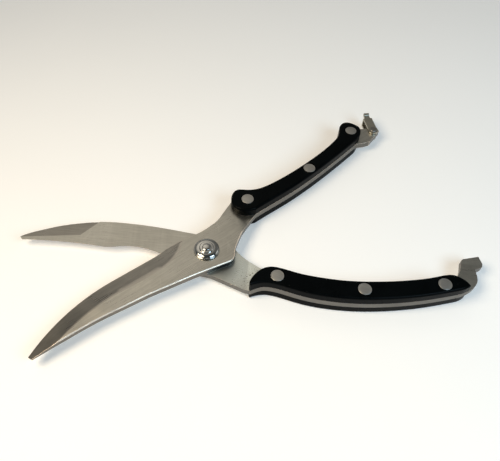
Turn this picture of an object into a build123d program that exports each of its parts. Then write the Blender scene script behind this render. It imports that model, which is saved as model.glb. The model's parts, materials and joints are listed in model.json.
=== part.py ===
from build123d import *
from math import cos, radians, sin, tan
import os

os.makedirs("parts", exist_ok=True)

# Poultry shears, millimetres. The pivot axis is +Z and the handles lie towards +X. Each
# half is drawn in its own frame: pivot at the origin, blade tip on -X, jaws closed.
# z = 0 is the sliding face between the two blades and the middle of both tangs.

# ---- sizes -------------------------------------------------------------------------
open_angle = 42.1           # between the blade tips when the shears rest open
plate_t = 3.6               # steel thickness at the pivot and along the tangs
tip_t = 2.8                 # steel thickness at the blade tips
slide_gap = 0.06            # oil gap between the two sliding faces
front_reach = 103.4         # pivot to tip, front blade
rear_reach = 104.0          # pivot to tip, rear blade
belly_r = 105.6             # curve of the front cutting edge
belly_end = 50.0            # where it runs straight, before the pivot
belly_y = 14.15             # the straight part's distance from the pivot line
heel = 20.0                 # where the front cutting edge ends
edge_land = 0.35            # thickness left at the cutting edges
facet_tilt = 3.0            # relief ground on the rear blade's inner face, at its tip
bevel_w = 10.8              # width of the front blade's hollow grind
hollow_depth = 0.12         # how far the grind dips below a flat bevel
grind_exit = 7.0            # where the grind begins to leave the edge, ahead of the heel
rear_bevel_w = 6.0          # width of the rear blade's bevel
ramp_start = 22.5           # where each plate begins to crank to the tang plane
ramp_end = 31.0             # where the crank ends
soft_edge = 0.45            # chamfer along spine and neck

scale_t = 5.2               # thickness of one handle scale
scale_round = 1.3           # rounding of the scale's outer edge

rivet_head_r = 3.5          # flush rivet heads
rivet_head_t = 1.4
rivet_barrel_r = 2.2        # female half
rivet_shank_r = 1.5         # male half
rivet_shank = 9.0
seat_gap = 0.02             # clearance of a part seated in its hole

bolt_r = 4.0                # pivot bolt
bolt_thread_r = 2.5
bolt_thread = 1.5
bolt_head_r = 6.4
bolt_head_t = 1.5
key_flat = 6.6              # across the two flats that lock the bolt in the rear half
turn_gap = 0.05             # radial running clearance
washer_r = 6.1
washer_t = 0.3
nut_r = 6.9
nut_rim = 0.25
nut_rise = 1.4              # height of the nut's wide dome
boss_r = 3.6
boss_rise = 0.8
pip_r = 2.2
pip_rise = 0.5

wire_r = 0.6                # return spring wire
coil_r = 6.6                # spring centre-line radius
pocket_clear = 0.8          # between the coil and the wall of its pocket
pocket_depth = 1.9
spring_clear = 0.3

spring_bearing = 70.0       # direction of the spring's moving end, in the rear half
anchor_bearing = 110.0      # direction of its fixed end
spring_leg = 1.3            # how far the moving end reaches into the front half
anchor_leg = 1.0            # how far the fixed end reaches below the pocket

stop_r = 13.8               # stop pin's distance from the pivot
stop_pin_r = 1.2
stop_bearing = 190.0        # its direction in the rear half
stop_rise = 1.5
stop_clear = 0.3

latch_pin_x = 141.2
latch_pin_y = 15.2
latch_pin_r = 1.4
latch_head_r = 2.2
latch_head_t = 0.6
latch_reach = 10.5          # pin centre to the inner face of the bridge
latch_t = 1.2
latch_w = 5.4
latch_eye_r = 3.0
latch_gap = 0.15
latch_rest = 63.4           # direction of the parked stirrup, in the front half
latch_shut = -70.0          # its direction when it holds the hook
tab_w = 3.4
tab_len = 3.2
tab_curl = 2.2              # outer radius of the tab's turned-up end

stop_slope = 16.5           # slope of the two meeting faces at the handle ends
meet_gap = 0.2
hook_drop = 0.25            # hook's catching face inside the bridge

# ---- values that follow ------------------------------------------------------------
half_t = plate_t / 2
half_open = open_angle / 2
half_gap = slide_gap / 2
hub_r = coil_r - wire_r - spring_clear
pocket_r = coil_r + wire_r + pocket_clear
coil_z = -half_gap - spring_clear - wire_r
latch_half = half_t + latch_gap + latch_t
stop_at = (stop_r * cos(radians(stop_bearing)), stop_r * sin(radians(stop_bearing)))
grip_top = half_t + scale_t
FRONT = Plane((0, 0, 0), x_dir=(cos(radians(half_open)), sin(radians(half_open)), 0), z_dir=(0, 0, 1))
REAR = Plane((0, 0, 0), x_dir=(cos(radians(half_open)), -sin(radians(half_open)), 0), z_dir=(0, 0, 1))
front_rivets = [(38.0, 13.5), (82.6, 11.2), (125.5, 20.4)]
rear_rivets = [(38.3, -14.2), (82.3, -17.3), (122.8, -9.9)]


def meet_y(x, gap):
    """Height of the meeting face at the handle ends, in the closed frame."""
    return latch_pin_y - 4.2 + (x - latch_pin_x + 3.2) * tan(radians(stop_slope)) + gap


def catch_y(x):
    """Height of the hook's catching face, square to the shut stirrup."""
    bearing = radians(latch_shut)
    return latch_pin_y + (latch_reach - hook_drop - (x - latch_pin_x) * cos(bearing)) / sin(bearing)


# ---- plan outlines of the two grips --------------------------------------------------
with BuildSketch() as front_grip:
    with BuildLine():
        around = Spline(
            (37.6, 4.95), (33.8, 6.5), (30.6, 9.2), (28.7, 12.8), (28.8, 16.0), (30.6, 19.2),
            (33.6, 22.0), (37.1, 23.0), (40.6, 21.0), (44.0, 18.4), (48.6, 16.4), (55.6, 15.3),
            (65.6, 15.0), (85.5, 16.0), (105.4, 18.8), (112.3, 20.5), (116.4, 22.2),
            (120.2, 25.3), (124.0, 28.3), (127.2, 28.8), (130.2, 27.0), (132.0, 23.4),
            (132.5, 19.8), (131.0, 17.0), (128.0, 14.6), (123.7, 12.8),
        )
        Spline(around @ 1, (108.0, 10.2), (94.0, 8.2), (79.9, 6.6), (63.2, 5.4), (48.4, 5.2), around @ 0)
    make_face()

with BuildSketch() as rear_grip:
    with BuildLine():
        around = Spline(
            (25.1, -21.2), (24.4, -20.0), (24.7, -17.9), (25.9, -15.4), (28.3, -12.1), (31.6, -9.6),
            (35.0, -8.6), (40.1, -9.0), (50.1, -11.2), (60.1, -12.4), (70.0, -12.9), (80.0, -12.6),
            (90.0, -11.6), (100.0, -10.1), (109.9, -8.1), (117.9, -5.9), (123.9, -3.9),
            (128.0, -3.4), (131.7, -4.8), (134.4, -6.9), (135.9, -9.2),
        )
        Spline(
            around @ 1, (134.0, -10.7), (128.8, -12.9), (115.9, -16.9), (100.7, -20.5),
            (80.6, -23.3), (65.7, -23.6), (50.6, -21.9), (40.3, -19.5), (33.0, -18.7),
            (28.4, -19.7), around @ 0,
        )
    make_face()

# ---- cutting edges -------------------------------------------------------------------
with BuildLine() as front_edge:
    belly = RadiusArc((-front_reach, 0), (-belly_end, belly_y), belly_r)
    Line(belly @ 1, (-heel, belly_y))

with BuildLine() as rear_edge:
    ahead = ThreePointArc((-rear_reach + 1.4, -1.6), (-rear_reach + 24.0, -0.55), (-57.5, -1.35))
    bump = TangentArc(ahead @ 1, (-50.2, -0.7), tangent=ahead % 1)
    notch = TangentArc(bump @ 1, (-30.5, -0.8), tangent=bump % 1)
    TangentArc(notch @ 1, (-24.1, -2.9), tangent=notch % 1)

# ---- front half: lower jaw and its tang ----------------------------------------------
with BuildSketch() as front_outline:
    with BuildLine():
        add(front_edge.line)
        Line((-front_reach, 0), (-front_reach + 1.0, -2.4))
        Spline(
            (-front_reach + 1.0, -2.4), (-front_reach + 25.2, -2.5), (-65.1, -3.0), (-50.1, -4.5),
            (-40.0, -5.5), (-30.0, -7.0), (-20.0, -8.5), (-10.0, -10.2), (0.0, -12.2), (5.0, -13.2),
        )
        Spline(
            (5.0, -13.2), (8.2, -13.0), (10.4, -11.4), (12.5, -8.9), (17.2, -5.2), (22.7, -1.6),
            (27.2, 0.7), (32.0, 2.9), (38.0, 5.0),
        )
        Polyline((38.0, 5.0), (38.0, 12.0), (32.0, 20.6))
        Spline(
            (32.0, 20.6), (26.3, 17.6), (21.0, 14.8), (16.5, 12.9), (12.1, 12.1), (3.7, 11.7),
            (-4.0, 12.3), (-12.0, 13.8), (-heel, belly_y),
        )
    make_face()
    add(front_grip.sketch)
    with BuildLine():
        Polyline(
            (118.0, 13.0), (124.6, 12.7), (128.6, 10.7),
            (latch_pin_x - 8.5, meet_y(latch_pin_x - 8.5, meet_gap / 2)),
            (latch_pin_x + 3.4, meet_y(latch_pin_x + 3.4, meet_gap / 2)),
            (latch_pin_x + 4.2, latch_pin_y - 0.2), (latch_pin_x + 3.6, latch_pin_y + 1.6),
            (latch_pin_x - 2.8, latch_pin_y + 4.8), (latch_pin_x - 4.8, latch_pin_y + 6.1),
            (132.0, 23.4), (124.0, 22.0), close=True,
        )
    make_face()

# Seen from the side the plate runs flat to the pivot, cranks down by half its thickness
# under the grips and tapers towards the tip.
with BuildSketch() as front_side:
    with BuildLine():
        Polyline(
            (-front_reach - 5, half_gap), (ramp_start, half_gap), (ramp_end, -half_t),
            (latch_pin_x + 20, -half_t), (latch_pin_x + 20, half_t), (ramp_end, half_t),
            (ramp_start, plate_t), (-35.0, plate_t), (-front_reach, tip_t),
            (-front_reach - 5, tip_t), close=True,
        )
    make_face()

# Hollow of the grinding wheel: x is the distance outside the cutting edge, y the height
# above the sliding face.
with BuildSketch() as front_wheel:
    with BuildLine():
        ThreePointArc(
            (0, edge_land), (-bevel_w / 2, (edge_land + plate_t) / 2 - hollow_depth), (-bevel_w, plate_t)
        )
        Polyline(
            (-bevel_w, plate_t), (-bevel_w, plate_t + 3), (4, plate_t + 3), (4, edge_land), (0, edge_land)
        )
    make_face()

with BuildPart() as front_blank:
    with BuildSketch(FRONT.offset(-half_t)):
        add(front_outline.sketch)
    extrude(amount=plate_t + half_t)
    with BuildSketch(Plane(FRONT.origin, x_dir=FRONT.x_dir, z_dir=-FRONT.y_dir)):
        add(front_side.sketch)
    extrude(amount=60, both=True, mode=Mode.INTERSECT)
    with BuildLine(FRONT) as front_grind:
        belly = RadiusArc((-front_reach, 0), (-belly_end, belly_y), belly_r)
        lead = TangentArc(belly @ 0, (-front_reach - 4.0, -2.6), tangent=-(belly % 0))
        flat = Line(belly @ 1, (-heel - grind_exit, belly_y))
        TangentArc(flat @ 1, (-heel + 6.0, belly_y + 6.5), tangent=flat % 1)
    start = front_grind.line @ 0
    along = front_grind.line % 0
    with BuildSketch(Plane(start, x_dir=(-along.Y, along.X, 0), z_dir=along)) as wheel_at_tip:
        add(front_wheel.sketch)
    sweep(sections=wheel_at_tip.sketch, path=front_grind.line, mode=Mode.SUBTRACT)

    sharp = front_blank.faces().filter_by(Axis.Z).sort_by(Axis.Z)[-1].edges()
    spine = sharp.filter_by(lambda e: e.center().rotate(Axis.Z, -half_open).Y < -3.6)
    chamfer(spine, soft_edge)

with BuildPart() as front_blade:
    add(front_blank.part)
    with BuildSketch(FRONT.offset(plate_t)):
        Circle(bolt_r + turn_gap)
    extrude(amount=-2 * plate_t, mode=Mode.SUBTRACT)
    with BuildSketch(FRONT.offset(half_t)):
        with Locations(*front_rivets):
            Circle(rivet_barrel_r + seat_gap)
        with Locations((latch_pin_x, latch_pin_y)):
            Circle(latch_pin_r + seat_gap)
    extrude(amount=-plate_t, mode=Mode.SUBTRACT)
    # arc that lets the stop pin travel, in the sliding face
    with BuildSketch(FRONT.offset(half_gap)):
        with BuildLine():
            slot_line = CenterArc((0, 0), stop_r, stop_bearing - open_angle, open_angle)
        SlotArc(arc=slot_line, height=2 * (stop_pin_r + stop_clear))
    extrude(amount=stop_rise + stop_clear, mode=Mode.SUBTRACT)
    # hole for the spring's upturned end
    with BuildSketch(FRONT.offset(half_gap)):
        with Locations(Location((0, 0), spring_bearing - open_angle)):
            with Locations((coil_r, 0)):
                Circle(wire_r + spring_clear)
    extrude(amount=spring_leg + spring_clear, mode=Mode.SUBTRACT)

# ---- rear half: upper jaw with the bone notch, and its tang with the hook ---------------
with BuildSketch() as rear_outline:
    with BuildLine():
        tip = Line((-rear_reach + 1.4, -1.6), (-rear_reach, 0.0))
        Spline(
            tip @ 1, (-rear_reach + 3.9, 2.7), (-rear_reach + 8.9, 5.2), (-rear_reach + 18.8, 9.5),
            (-rear_reach + 28.8, 12.6), (-62.2, 15.1), (-50.2, 15.7), (-40.2, 15.5),
            (-30.2, 14.9), (-20.2, 13.9), (-10.2, 12.7), (0.0, 11.2), (8.0, 8.6), (15.5, 3.9),
            (20.0, -0.4), (25.0, -4.0), (29.0, -6.9), (34.0, -9.2),
        )
        Polyline((34.0, -9.2), (34.0, -16.0), (26.5, -20.6))
        Spline(
            (26.5, -20.6), (23.8, -20.8), (19.9, -19.6), (14.5, -17.5), (9.0, -15.4), (2.4, -13.2),
            (-6.0, -12.0), (-13.0, -8.2), (-18.0, -5.3), (-24.1, -2.9),
        )
        add(rear_edge.line)
    make_face()
    add(rear_grip.sketch)
    with BuildLine():
        Spline(
            (133.0, -11.2), (136.9, -9.0), (139.8, -6.4), (141.6, -3.2), (142.0, 0.0),
            (141.6, catch_y(141.6) - 0.3),
        )
        Polyline(
            (141.6, catch_y(141.6) - 0.3), (141.6, catch_y(141.6)), (144.3, catch_y(144.3)),
            (145.7, 6.6), (146.1, 8.4), (144.8, meet_y(144.8, -meet_gap / 2)),
            (136.4, meet_y(136.4, -meet_gap / 2)), (135.3, 9.4), (134.7, 6.6),
        )
        Spline((134.7, 6.6), (133.9, 3.2), (132.6, 0.2), (130.4, -3.9))
        Polyline((130.4, -3.9), (126.0, -9.0), (133.0, -11.2))
    make_face()

with BuildSketch() as rear_side:
    with BuildLine():
        Polyline(
            (-rear_reach - 5, -half_gap), (ramp_start, -half_gap), (ramp_end, half_t),
            (latch_pin_x + 20, half_t), (latch_pin_x + 20, -half_t), (ramp_end, -half_t),
            (ramp_start, -plate_t), (-35.0, -plate_t), (-rear_reach, -tip_t),
            (-rear_reach - 5, -tip_t), close=True,
        )
    make_face()

with BuildSketch() as rear_wheel:
    with BuildLine():
        Polyline(
            (0, edge_land), (-rear_bevel_w, plate_t), (-rear_bevel_w, plate_t + 3),
            (4, plate_t + 3), (4, edge_land), close=True,
        )
    make_face()

with BuildPart() as rear_blank:
    with BuildSketch(REAR.offset(-plate_t)):
        add(rear_outline.sketch)
    extrude(amount=plate_t + half_t)
    with BuildSketch(Plane(REAR.origin, x_dir=REAR.x_dir, z_dir=-REAR.y_dir)):
        add(rear_side.sketch)
    extrude(amount=60, both=True, mode=Mode.INTERSECT)
    with BuildLine(REAR) as rear_grind:
        ahead = ThreePointArc((-rear_reach + 1.4, -1.6), (-rear_reach + 24.0, -0.55), (-57.5, -1.35))
        TangentArc(ahead @ 0, (-rear_reach - 3.0, -2.1), tangent=-(ahead % 0))
        bump = TangentArc(ahead @ 1, (-50.2, -0.7), tangent=ahead % 1)
        notch = TangentArc(bump @ 1, (-30.5, -0.8), tangent=bump % 1)
        exit_cut = TangentArc(notch @ 1, (-24.1, -2.9), tangent=notch % 1)
        TangentArc(exit_cut @ 1, (-14.0, -8.5), tangent=exit_cut % 1)
    start = rear_grind.line @ 0
    along = rear_grind.line % 0
    with BuildSketch(Plane(start, x_dir=(along.Y, -along.X, 0), z_dir=along)) as wheel_at_tip:
        add(rear_wheel.sketch)
    sweep(sections=wheel_at_tip.sketch, path=rear_grind.line, mode=Mode.SUBTRACT)

with BuildPart() as rear_blade:
    add(rear_blank.part)
    # relief facet between the spine and the tip
    facet = REAR * Location((-71.2, 4.8, -half_gap), (0, 0, 8.5)) * Location((0, 0, 0), (-facet_tilt, 0, 0))
    with BuildSketch(Plane(facet)):
        with BuildLine():
            Polyline((0, 0), (-rear_reach + 60, 0), (-rear_reach + 60, 16), (18, 16), close=True)
        make_face()
    extrude(amount=4, mode=Mode.SUBTRACT)
    # pocket for the return spring, round a solid hub
    with BuildSketch(REAR.offset(-half_gap)):
        Circle(pocket_r)
        Circle(hub_r, mode=Mode.SUBTRACT)
    extrude(amount=-pocket_depth, mode=Mode.SUBTRACT)
    # bolt hole with two flats
    with BuildSketch(REAR):
        Circle(bolt_r + seat_gap)
        Rectangle(4 * bolt_r, key_flat + 2 * seat_gap, mode=Mode.INTERSECT)
    extrude(amount=-plate_t, mode=Mode.SUBTRACT)
    with BuildSketch(REAR):
        with Locations(*rear_rivets):
            Circle(rivet_barrel_r + seat_gap)
    extrude(amount=half_t, both=True, mode=Mode.SUBTRACT)
    with BuildSketch(REAR):
        with Locations(stop_at):
            Circle(stop_pin_r + seat_gap)
    extrude(amount=-plate_t, mode=Mode.SUBTRACT)
    # hole for the spring's downturned end
    with BuildSketch(REAR):
        with Locations(Location((0, 0), anchor_bearing)):
            with Locations((coil_r, 0)):
                Circle(wire_r + seat_gap)
    extrude(amount=-pocket_depth - half_gap - anchor_leg, mode=Mode.SUBTRACT)

# ---- handle scales, cut to the tangs they cover -----------------------------------------
scales = []
for half_name, plane, grip, blank, places in (
    ("front", FRONT, front_grip, front_blank, front_rivets),
    ("rear", REAR, rear_grip, rear_blank, rear_rivets),
):
    for side_name, up in (("top", 1), ("under", -1)):
        with BuildPart() as scale:
            with BuildSketch(plane):
                add(grip.sketch)
            extrude(amount=up * grip_top)
            outer_face = sorted(scale.faces(), key=lambda face: up * face.center().Z)[-1]
            fillet(outer_face.edges(), scale_round)
            add(blank.part, mode=Mode.SUBTRACT)
            with BuildSketch(plane.offset(up * grip_top)):
                with Locations(*places):
                    Circle(rivet_head_r + seat_gap)
            extrude(amount=-up * (rivet_head_t + seat_gap), mode=Mode.SUBTRACT)
            with BuildSketch(plane):
                with Locations(*places):
                    Circle(rivet_barrel_r + seat_gap)
            extrude(amount=up * grip_top, mode=Mode.SUBTRACT)
        scales.append((f"{half_name}_scale_{side_name}", scale))

# ---- pivot hardware ----------------------------------------------------------------------
with BuildPart() as pivot_bolt:
    with BuildSketch(REAR.offset(-plate_t - bolt_head_t)):
        Circle(bolt_head_r)
    extrude(amount=bolt_head_t)
    chamfer(pivot_bolt.faces().sort_by(Axis.Z)[0].edges(), 0.5)
    with BuildSketch(REAR.offset(-plate_t)):
        Circle(bolt_r)
        Rectangle(4 * bolt_r, key_flat, mode=Mode.INTERSECT)
    extrude(amount=plate_t - half_gap)
    with BuildSketch(REAR.offset(-half_gap)):
        Circle(bolt_r)
    extrude(amount=plate_t + washer_t + 2 * half_gap)
    with BuildSketch(REAR.offset(plate_t + washer_t + half_gap)):
        Circle(bolt_thread_r)
    extrude(amount=bolt_thread)
    chamfer(pivot_bolt.faces().sort_by(Axis.Z)[-1].edges(), 0.3)

with BuildPart() as pivot_washer:
    with BuildSketch(REAR.offset(plate_t + turn_gap)):
        Circle(washer_r)
        Circle(bolt_r + turn_gap, mode=Mode.SUBTRACT)
    extrude(amount=washer_t - turn_gap)

with BuildPart() as pivot_nut:
    with BuildSketch(Plane.XZ):
        with BuildLine():
            base = plate_t + washer_t + half_gap
            Polyline((0, base), (nut_r, base), (nut_r, base + nut_rim))
            ThreePointArc(
                (nut_r, base + nut_rim),
                ((nut_r + boss_r) / 2 + 0.4, base + nut_rise * 0.78),
                (boss_r, base + nut_rise),
            )
            Line((boss_r, base + nut_rise), (boss_r - 0.2, base + nut_rise + 0.3))
            ThreePointArc(
                (boss_r - 0.2, base + nut_rise + 0.3),
                ((boss_r + pip_r) / 2, base + nut_rise + boss_rise * 0.8),
                (pip_r, base + nut_rise + boss_rise),
            )
            TangentArc(
                (0, base + nut_rise + boss_rise + pip_rise), (pip_r, base + nut_rise + boss_rise),
                tangent=(1, 0),
            )
            Line((0, base + nut_rise + boss_rise + pip_rise), (0, base))
        make_face()
    revolve(axis=Axis.Z)
    with BuildSketch(REAR.offset(base)):
        Circle(bolt_thread_r + seat_gap)
    extrude(amount=bolt_thread + seat_gap, mode=Mode.SUBTRACT)

with BuildPart() as stop_pin:
    with BuildSketch(REAR.offset(-plate_t)):
        with Locations(stop_at):
            Circle(stop_pin_r)
    extrude(amount=plate_t + stop_rise)
    chamfer(stop_pin.faces().sort_by(Axis.Z)[-1].edges(), 0.2)

# One open turn of wire lying in the pocket. One end is turned down into the rear half and
# the other up into the front half.
with BuildPart() as return_spring:
    with BuildLine(REAR.offset(coil_z)) as turn:
        CenterArc((0, 0), coil_r, anchor_bearing, 360 + spring_bearing - anchor_bearing)
    with BuildSketch(Plane(turn.line @ 0, z_dir=turn.line % 0)) as wire:
        Circle(wire_r)
    sweep(sections=wire.sketch, path=turn.line)
    with BuildSketch(REAR.offset(coil_z)):
        with Locations(Location((0, 0), anchor_bearing)):
            with Locations((coil_r, 0)):
                Circle(wire_r)
    extrude(amount=-(pocket_depth + half_gap + anchor_leg + coil_z - seat_gap))
    with BuildSketch(REAR.offset(coil_z)):
        with Locations(Location((0, 0), spring_bearing)):
            with Locations((coil_r, 0)):
                Circle(wire_r)
    extrude(amount=spring_leg - coil_z)

# ---- latch -------------------------------------------------------------------------------
latch_frame = FRONT * Location((latch_pin_x, latch_pin_y, 0), (0, 0, latch_rest))
with BuildPart() as latch_stirrup:
    with BuildSketch(Plane(latch_frame).offset(-latch_half)) as cheek:
        Circle(latch_eye_r)
        with Locations((latch_reach / 2, 0)):
            Rectangle(latch_reach, latch_w)
        with Locations((latch_reach + latch_t / 2, 0)):
            Rectangle(latch_t, latch_w)
        Circle(latch_pin_r + turn_gap, mode=Mode.SUBTRACT)
    extrude(amount=2 * latch_half)
    with BuildSketch(Plane(latch_frame).offset(-latch_half + latch_t)):
        Circle(latch_eye_r + 1)
        with Locations((latch_reach / 2, 0)):
            Rectangle(latch_reach, latch_w + 2)
    extrude(amount=2 * (latch_half - latch_t), mode=Mode.SUBTRACT)

    away = Axis(latch_frame.position, Plane(latch_frame).x_dir)
    bends = latch_stirrup.faces().sort_by(away)[-1].edges().filter_by(Axis.Z, reverse=True)
    fillet(bends, latch_t * 0.8)
    # thumb tab, turned up at its end
    with BuildSketch(Plane(latch_frame.position, x_dir=away.direction, z_dir=-Plane(latch_frame).y_dir)):
        with BuildLine():
            root = latch_reach + latch_t
            low = latch_half - latch_t
            Polyline(
                (root + tab_len - tab_curl, low + latch_t), (latch_reach + 0.4, low + latch_t),
                (latch_reach + 0.4, low), (root + tab_len - tab_curl, low),
            )
            RadiusArc((root + tab_len - tab_curl, low), (root + tab_len, low + tab_curl), -tab_curl)
            Line((root + tab_len, low + tab_curl), (root + tab_len - latch_t, low + tab_curl))
            RadiusArc(
                (root + tab_len - latch_t, low + tab_curl),
                (root + tab_len - tab_curl, low + latch_t), tab_curl - latch_t,
            )
        make_face()
    extrude(amount=tab_w / 2, both=True)

with BuildPart() as latch_pin:
    with BuildSketch(Plane(latch_frame).offset(-latch_half - turn_gap)):
        Circle(latch_pin_r)
    extrude(amount=2 * (latch_half + turn_gap))
    with BuildSketch(Plane(latch_frame).offset(latch_half + turn_gap)):
        Circle(latch_head_r)
    extrude(amount=latch_head_t)
    with BuildSketch(Plane(latch_frame).offset(-latch_half - turn_gap)):
        Circle(latch_head_r)
    extrude(amount=-latch_head_t)
    ends = latch_pin.faces().filter_by(Axis.Z)
    chamfer(ends.sort_by(Axis.Z)[-1].edges() + ends.sort_by(Axis.Z)[0].edges(), latch_head_t / 2)

# ---- two-piece rivets: the male half is driven into the female half ------------------------
rivets = []
for half_name, plane, places in (("front", FRONT, front_rivets), ("rear", REAR, rear_rivets)):
    for number, place in enumerate(places, start=1):
        with BuildPart() as male:
            with BuildSketch(plane.offset(grip_top)):
                with Locations(place):
                    Circle(rivet_head_r)
            extrude(amount=-rivet_head_t)
            with BuildSketch(plane.offset(grip_top - rivet_head_t)):
                with Locations(place):
                    Circle(rivet_shank_r)
            extrude(amount=-rivet_shank)
            chamfer(male.faces().sort_by(Axis.Z)[0].edges(), 0.25)
        with BuildPart() as female:
            with BuildSketch(plane.offset(-grip_top)):
                with Locations(place):
                    Circle(rivet_head_r)
            extrude(amount=rivet_head_t)
            with BuildSketch(plane.offset(rivet_head_t - grip_top)):
                with Locations(place):
                    Circle(rivet_barrel_r)
            extrude(amount=2 * (grip_top - rivet_head_t) - seat_gap)
            with BuildSketch(plane.offset(grip_top - rivet_head_t)):
                with Locations(place):
                    Circle(rivet_shank_r + seat_gap)
            extrude(amount=-rivet_shank - 0.5, mode=Mode.SUBTRACT)
        rivets.append((f"{half_name}_rivet_{number}_male", male))
        rivets.append((f"{half_name}_rivet_{number}_female", female))

# ---- the finished pieces, centred in plan and standing on z = 0 ----------------------------
pieces = [
    ("rear_blade", rear_blade), ("front_blade", front_blade),
    ("pivot_bolt", pivot_bolt), ("pivot_washer", pivot_washer), ("pivot_nut", pivot_nut),
    ("stop_pin", stop_pin), ("return_spring", return_spring),
    ("latch_stirrup", latch_stirrup), ("latch_pin", latch_pin),
] + scales + rivets
box = Compound(children=[copy_of.part.moved(Location()) for name, copy_of in pieces]).bounding_box()
seat = Location((-box.center().X, -box.center().Y, -box.min.Z))
for name, piece in pieces:
    piece.part.label = name
    export_step(piece.part.moved(seat), f"parts/{name}.step")

print("pivot", [round(v, 4) for v in seat.position])
print("latch pin", [round(v, 4) for v in (seat * latch_frame).position])
print("box", box.size)
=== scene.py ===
"""Looks of a pair of spring-opened poultry shears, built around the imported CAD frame.

Every piece stands where the frame says, in metres, and rides on one of its three bodies: the rear half, the
front half and the latch. Sheet-metal pieces are merged copies of their CAD nodes with broken edges, turned
pieces are spun afresh, and the moulded grips keep their CAD shape.
"""

import json
import logging
import math
from dataclasses import dataclass, field
from enum import Enum

import bmesh
import bpy
from mathutils import Matrix, Vector

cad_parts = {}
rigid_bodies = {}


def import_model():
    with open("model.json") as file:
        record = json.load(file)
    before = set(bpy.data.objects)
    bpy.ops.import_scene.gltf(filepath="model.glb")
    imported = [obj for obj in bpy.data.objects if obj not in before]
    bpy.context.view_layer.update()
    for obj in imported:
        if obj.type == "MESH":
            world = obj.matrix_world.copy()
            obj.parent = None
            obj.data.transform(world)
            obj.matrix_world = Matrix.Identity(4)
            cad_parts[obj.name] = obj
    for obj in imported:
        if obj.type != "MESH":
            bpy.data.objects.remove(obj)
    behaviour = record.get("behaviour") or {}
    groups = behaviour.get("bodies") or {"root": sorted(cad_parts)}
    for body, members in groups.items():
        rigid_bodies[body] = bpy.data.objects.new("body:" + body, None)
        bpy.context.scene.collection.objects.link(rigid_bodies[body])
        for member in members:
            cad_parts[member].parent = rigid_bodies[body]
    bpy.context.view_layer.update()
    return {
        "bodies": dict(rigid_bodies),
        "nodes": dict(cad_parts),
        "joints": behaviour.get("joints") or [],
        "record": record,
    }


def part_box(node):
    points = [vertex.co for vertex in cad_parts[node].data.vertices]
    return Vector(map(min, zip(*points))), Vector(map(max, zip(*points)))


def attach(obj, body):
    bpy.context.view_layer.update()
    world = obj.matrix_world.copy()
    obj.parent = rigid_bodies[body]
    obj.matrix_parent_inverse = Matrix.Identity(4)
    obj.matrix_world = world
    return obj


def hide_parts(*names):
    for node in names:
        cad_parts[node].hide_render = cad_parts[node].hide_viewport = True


LOG = logging.getLogger("shears")
MM = 0.001
SPREAD = math.radians(21.05)  # each half's turn from the row's X axis when the shears rest open
WELD = 0.004 * MM  # points nearer than this are one
FLAT_WITHIN = math.radians(0.05)  # faces that meet at less than this angle become one
SHARP_FROM = math.radians(28.0)  # edges that meet at more than this angle are broken
QUARTER = math.pi / 2

Colour = tuple[float, float, float]
Profile = list[tuple[float, float]]
Point = tuple[float, float, float]


class Body(Enum):
    """The three bodies of the frame that pieces ride on."""

    REAR = "rear_half"
    FRONT = "front_half"
    LATCH = "latch"


class Slot(Enum):
    """The record's material slots."""

    BLADE = "blade_steel"
    GRIP = "grip_plastic"
    RIVET = "rivet_alloy"
    CHROME = "nut_chrome"
    SPRING = "spring_wire"
    SMALL = "small_steel"


# --------------------------------------------------------------------------------------------------
# Shader trees
# --------------------------------------------------------------------------------------------------


class Tree:
    """A thin hand on one node tree: adds nodes, sets their sockets and links them."""

    def __init__(self, tree: bpy.types.NodeTree) -> None:
        """Keeps the tree.

        Args:
            tree: the node tree of a material, a world or a group.
        """
        self.tree = tree

    def add(self, kind: str, sockets: dict | None = None, **settings: object) -> bpy.types.Node:
        """Adds a node.

        Args:
            kind: the node's type name without the "ShaderNode" prefix.
            sockets: input values by socket name or index; an output socket given here is linked.
            **settings: attributes of the node itself.

        Returns:
            The new node.
        """
        node = self.tree.nodes.new(kind if kind.startswith("NodeGroup") else "ShaderNode" + kind)
        for name, value in settings.items():
            setattr(node, name, value)
        for name, value in (sockets or {}).items():
            if isinstance(value, bpy.types.NodeSocket):
                self.tree.links.new(value, node.inputs[name])
            else:
                node.inputs[name].default_value = value
        return node

    def maths(self, operation: str, first: object, second: object = 0.0) -> bpy.types.NodeSocket:
        """Adds a Math node.

        Args:
            operation: the node's operation.
            first: a socket or a number.
            second: a socket or a number.

        Returns:
            The node's output socket.
        """
        return self.add("Math", {0: first, 1: second}, operation=operation).outputs[0]

    def blend(self, share: object, first: object, second: object) -> bpy.types.NodeSocket:
        """Mixes two colours.

        Args:
            share: a socket or a number, 0 for the first colour and 1 for the second.
            first: a colour socket or a colour.
            second: a colour socket or a colour.

        Returns:
            The mixed colour's socket.
        """
        node = self.add("Mix", data_type="RGBA")
        factor, a, b = node.inputs[0], node.inputs[6], node.inputs[7]
        for socket, value in ((factor, share), (a, first), (b, second)):
            if isinstance(value, bpy.types.NodeSocket):
                self.tree.links.new(value, socket)
            else:
                socket.default_value = value if socket is factor else (*value, 1.0)
        return node.outputs[2]

    def spread(
        self, value: object, low: float, high: float, to_low: float, to_high: float
    ) -> bpy.types.NodeSocket:
        """Maps a value smoothly from one range to another.

        Args:
            value: the value's socket.
            low: the value that gives to_low.
            high: the value that gives to_high.
            to_low: the lowest result.
            to_high: the highest result.

        Returns:
            The mapped value's socket.
        """
        sockets = {"Value": value, "From Min": low, "From Max": high, "To Min": to_low, "To Max": to_high}
        return self.add("MapRange", sockets, interpolation_type="SMOOTHSTEP").outputs[0]


class Effect(Enum):
    """Surface effects that several finishes share, each one shader node group."""

    GRAIN = "grinding_grain"
    SCRATCHES = "hair_scratches"
    SPECKS = "dirt_specks"
    SMUDGES = "handling_smudges"
    NEARNESS = "nearness"


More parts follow.
